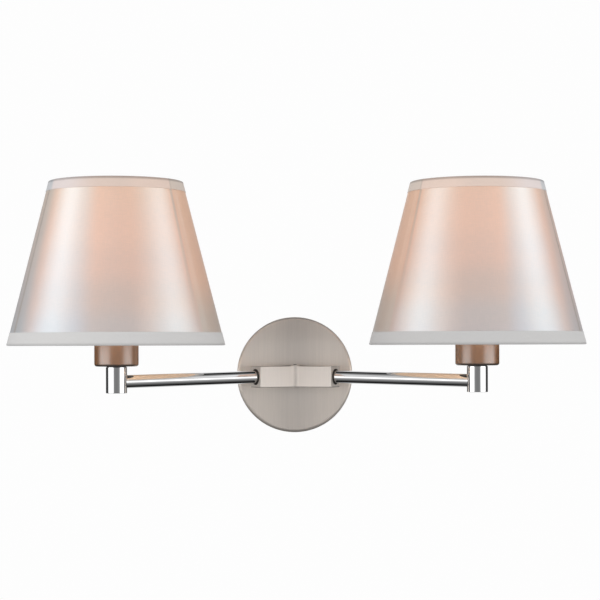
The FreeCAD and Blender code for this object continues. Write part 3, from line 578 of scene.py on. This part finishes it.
def tape_section(top, seed, lap_at):
    """Cross-section of a tape folded over an edge of the shade: outer leaf, a
    rounded fold, and the inner leaf."""
    t = 0.00036
    if top:
        edge, outer_end, inner_end, way = SHADE_HIGH, SHADE_HIGH - 10.2 * MM, SHADE_HIGH - 7.0 * MM, -1
    else:
        edge, outer_end, inner_end, way = SHADE_LOW, SHADE_LOW + 12.4 * MM, SHADE_LOW + 8.0 * MM, 1
    inner_off = 4.60 * MM

    def section(deg, f):
        lift = 0.0
        if deg > lap_at + 360.0 - 1.0:
            q = max(0.0, min(1.0, (deg - lap_at - 359.0) / 3.0))
            lift = (0.00032 if top else 0.00012) * q * q * (3 - 2 * q)
        w1 = wavy(deg, seed, 0.00010)
        w2 = wavy(deg, seed + 2, 0.00018)
        ze, zi = outer_end + w1, inner_end + w2
        # middle line: down the outside, round the fold, up the inside
        mid = []
        o0 = 0.00020 - lift
        steps = 5
        for j in range(steps + 1):
            z = ze + (edge - way * 0 + way * 0.0011 - ze) * j / steps
            soft = 0.00005 * (1 + wavy(deg * 1.7 + j * 40, seed, 1.0))
            mid.append((cone_r(z) - o0 - soft, z))
        # fold over the wire, kept just inside the edge
        span = inner_off - o0
        for j in range(1, 8):
            a = math.pi * j / 8
            z = edge + way * (0.0011 - 0.00090 * math.sin(a))
            mid.append((cone_r(z) - o0 - span * (1 - math.cos(a)) / 2, z))
        for j in range(steps + 1):
            z = (edge + way * 0.0011) + (zi - edge - way * 0.0011) * j / steps
            mid.append((cone_r(z) - inner_off, z))
        # thicken
        left, rightw = [], []
        s = 0.0
        for k, (r, z) in enumerate(mid):
            a = mid[max(0, k - 1)]
            c = mid[min(len(mid) - 1, k + 1)]
            dr, dz = c[0] - a[0], c[1] - a[1]
            d = math.hypot(dr, dz) or 1.0
            nr, nz = -dz / d * t / 2, dr / d * t / 2
            if k:
                s += math.hypot(r - mid[k - 1][0], z - mid[k - 1][1])
            left.append((r + nr, z + nz, s))
            rightw.append((r - nr, z - nz, s))
        pts = left + rightw[::-1]
        return pts if way < 0 else pts[::-1]
    return section


for side in ("left", "right"):
    seed = 1.3 if side == "left" else 4.1
    body = side + "_head"
    lap_deg = 4.6
    cut = SEAMS[side]
    # the right shade's cloth gets its upward value lowered by 0.07, which moves its painted inner light downwards
    outer = strip(side + "_satin_cover", side,
                  sheet_section(SHADE_LOW + 0.0005, SHADE_HIGH - 0.0005, 0.00042, 0.00030, 34, cut, 0.00038, seed),
                  cut, cut + 360.0 + lap_deg, 300, 0.0 if side == "left" else 1.0, 0.0 if side == "left" else 0.07)
    # the start lies under the end
    outer.data.materials.append(mats["pearl_satin"])
    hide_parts(side + "_shade_fabric")
    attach(outer, body)
    lining = strip(side + "_lining", side,
                   sheet_section(34.6 * MM, SHADE_HIGH - 0.0005, 0.00398, 0.00028, 20, -71.0, 0.00030, seed + 1),
                   -71.0, -71.0 + 360.0 + 4.0, 200)
    lining.data.materials.append(mats["peach_liner"])
    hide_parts(side + "_shade_liner")
    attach(lining, body)
    ls = (cone_r(SHADE_HIGH) - 0.004) / math.sin(HALF)
    for which, top in (("top", True), ("bottom", False)):
        tape = strip(side + "_" + which + "_tape", side, tape_section(top, seed + 3 * top, cut),
                     cut, cut + 360.0 + 5.0, 300, 1.0 if side == "left" else (1.035 if top else 0.925))
        tape.data.materials.append(mats["hem_tape"])
        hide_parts(side + "_shade_" + which + "_hem")
        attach(tape, body)

# --------------------------------------------------------------------- studio


def emission(name):
    m = bpy.data.materials.new(name)
    m.use_nodes = True
    nt = m.node_tree
    nt.nodes.clear()
    out = nt.nodes.new("ShaderNodeOutputMaterial")
    em = nt.nodes.new("ShaderNodeEmission")
    at = nt.nodes.new("ShaderNodeAttribute")
    at.attribute_name = "glow"
    nt.links.new(at.outputs["Color"], em.inputs["Color"])
    em.inputs["Strength"].default_value = 1.0
    nt.links.new(em.outputs["Emission"], out.inputs["Surface"])
    return m


def smooth(x, a, b):
    t = max(0.0, min(1.0, (x - a) / (b - a)))
    return t * t * (3 - 2 * t)


def along(x, stops):
    if x <= stops[0][0]:
        return stops[0][1]
    for (a, p), (b, q) in zip(stops, stops[1:]):
        if x <= b:
            return p + (q - p) * (x - a) / (b - a)
    return stops[-1][1]


def room(az, el):
    """What the studio's walls show from a direction, without the two light boxes."""
    a = abs(az)
    level = along(a, [(0, 0.21), (16, 0.22), (28, 0.30), (60, 0.40), (98, 0.18), (112, 0.04), (140, 0.02), (160, 0.02), (168, 0.95), (180, 0.98)])
    high = along(el, [(0, 1.0), (35, 0.95), (60, 0.55), (78, 0.18), (90, 0.10)])
    low = along(-el, [(0, 1.0), (20, 0.90), (35, 0.70), (50, 0.38), (62, 0.20), (80, 0.08), (90, 0.05)])
    fall = high if el > 0 else low
    return level * fall


def box_light(az, el):
    """What a light box shows from a direction, in degrees."""
    level = along(el, [(-60, 0.0), (-54, 0.06), (-40, 0.20), (-30, 0.36), (-20, 0.52), (-14, 0.66), (-10, 1.20), (-6, 1.90),
                       (2, 2.0), (4.5, 1.25), (6.5, 0.80), (9, 0.70), (24, 0.62), (36, 0.56), (44, 0.44), (50, 0.22), (57, 0.08), (66, 0.04)])
    side = smooth(az, 28.0, 43.0) * (1 - smooth(az, 84.0, 98.0))
    core = math.exp(-((az - 74.0) / (11.0 if az < 74 else 17.0)) ** 2 - ((el - 27.0) / 14.0) ** 2)
    return max(level * side + 3.8 * core * side, room(az, el))


def grid(name, columns, rows, place, light, material):
    verts, faces, glow = [], [], []
    for j, v in enumerate(rows):
        for i, u in enumerate(columns):
            verts.append(place(u, v))
            g = light(u, v)
            glow.append((g, g, g, 1.0) if isinstance(g, float) else (*g, 1.0))
    n = len(columns)
    for j in range(len(rows) - 1):
        for i in range(n - 1):
            faces.append((j * n + i, j * n + i + 1, (j + 1) * n + i + 1, (j + 1) * n + i))
    mesh = bpy.data.meshes.new(name)
    mesh.from_pydata(verts, [], faces)
    at = mesh.color_attributes.new("glow", "FLOAT_COLOR", "POINT")
    for k, g in enumerate(glow):
        at.data[k].color = g
    mesh.materials.append(material)
    o = bpy.data.objects.new(name, mesh)
    scene.collection.objects.link(o)
    # seen in the gloss of the surfaces; the cloth is lit by the world and the soft lamps below
    o.visible_camera = False
    o.visible_diffuse = False
    o.visible_shadow = False
    return o


def spherical(radius, centre):
    def place(az, el):
        a, e = math.radians(az), math.radians(el)
        return (centre[0] + radius * math.sin(a) * math.cos(e), centre[1] - radius * math.cos(a) * math.cos(e),
                centre[2] + radius * math.sin(e))
    return place


glow_wall = emission("studio_wall")
glow_box = emission("light_box")
middle = (0.0, -0.10, 0.03)
grid("studio_wall", [-180 + 4 * i for i in range(91)], [-90 + 5 * j for j in range(37)],
     spherical(2.4, middle), room, glow_wall)
for sx, side in ((-1, "left"), (1, "right")):
    cols = [24 + 3.0 * i for i in range(28)]
    grid(side + "_light_box", [sx * c for c in cols],
         [-60, -55, -50, -45, -40, -35, -30, -25, -20, -15, -12, -10, -8, -6, -3, 0, 2, 3.2, 4.5, 6.5, 9, 12, 18, 24, 30, 36, 42, 48, 54, 60, 66],
         spherical(1.5, middle), lambda az, el: box_light(abs(az), el), glow_box)

world = bpy.data.worlds.new("studio")
world.use_nodes = True
bg = world.node_tree.nodes["Background"]
bg.inputs["Color"].default_value = (1.0, 1.0, 1.0, 1.0)
bg.inputs["Strength"].default_value = 0.985
scene.world = world
world.cycles_visibility.glossy = False


def lamp(name, place, aim, size, power):
    ld = bpy.data.lights.new(name, "AREA")
    ld.shape = "RECTANGLE"
    ld.size, ld.size_y = size
    ld.energy = power
    lo = bpy.data.objects.new(name, ld)
    lo.location = place
    lo.rotation_euler = (Vector(aim) - Vector(place)).to_track_quat("-Z", "Y").to_euler()
    scene.collection.objects.link(lo)
    lo.visible_camera = False
    lo.visible_glossy = False
    return lo


lamp("front_lamp", (0.0, -1.9, 0.75), (0.0, -0.12, 0.08), (1.6, 1.0), 7.0)
for sx, side in ((-1, "left"), (1, "right")):
    lamp(side + "_side_lamp", (sx * 0.95, -0.55, 0.25), (sx * POST_X, POST_Y, 0.10), (0.5, 0.8), 2.0 if sx < 0 else 1.4)

# pale floor, seen by the camera only, and clear from underneath so that it never hides the light
fm = bpy.data.materials.new("floor")
fm.use_nodes = True
fnt = fm.node_tree
fnt.nodes.clear()
fo = fnt.nodes.new("ShaderNodeOutputMaterial")
fe = fnt.nodes.new("ShaderNodeEmission")
tc = fnt.nodes.new("ShaderNodeTexCoord")
ln = fnt.nodes.new("ShaderNodeVectorMath")
ln.operation = "LENGTH"
fnt.links.new(tc.outputs["Object"], ln.inputs[0])
# the floor is darker towards its middle, under the light: a painted soft shadow
rm = fnt.nodes.new("ShaderNodeMapRange")
rm.interpolation_type = "SMOOTHSTEP"
for k, v in zip(("From Min", "From Max", "To Min", "To Max"), (0.4, 2.8, 0.90, 0.985)):
    rm.inputs[k].default_value = v
fnt.links.new(ln.outputs["Value"], rm.inputs["Value"])
fnt.links.new(rm.outputs["Result"], fe.inputs["Color"])
ft = fnt.nodes.new("ShaderNodeBsdfTransparent")
fg = fnt.nodes.new("ShaderNodeNewGeometry")
fx = fnt.nodes.new("ShaderNodeMixShader")
fnt.links.new(fg.outputs["Backfacing"], fx.inputs[0])
fnt.links.new(fe.outputs["Emission"], fx.inputs[1])
fnt.links.new(ft.outputs["BSDF"], fx.inputs[2])
fnt.links.new(fx.outputs["Shader"], fo.inputs["Surface"])
fmesh = bpy.data.meshes.new("floor")
ring = [(3.0 * math.cos(2 * math.pi * k / 96), 3.0 * math.sin(2 * math.pi * k / 96), 0.0) for k in range(96)]
fmesh.from_pydata(ring, [], [tuple(range(96))])
fmesh.materials.append(fm)
floor = bpy.data.objects.new("floor", fmesh)
floor.location = (0.0, -0.1, -1.0)
scene.collection.objects.link(floor)
floor.visible_glossy = floor.visible_diffuse = floor.visible_transmission = floor.visible_shadow = False

# light inside each shade, which comes through the cloth on the real one
for side, sx in (("left", -1), ("right", 1)):
    for k, (z, power) in enumerate(((0.160, 0.05), (0.072, 0.105))):
        ld = bpy.data.lights.new(side + "_inner_light_%d" % k, "POINT")
        ld.energy = power
        ld.color = (1.0, 0.91, 0.81)
        ld.shadow_soft_size = 0.012
        lo = bpy.data.objects.new(ld.name, ld)
        lo.location = (sx * POST_X, POST_Y - (0.0 if k == 0 else 0.045), z)
        scene.collection.objects.link(lo)
        lo.visible_camera = False
        lo.visible_glossy = False
        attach(lo, side + "_head")
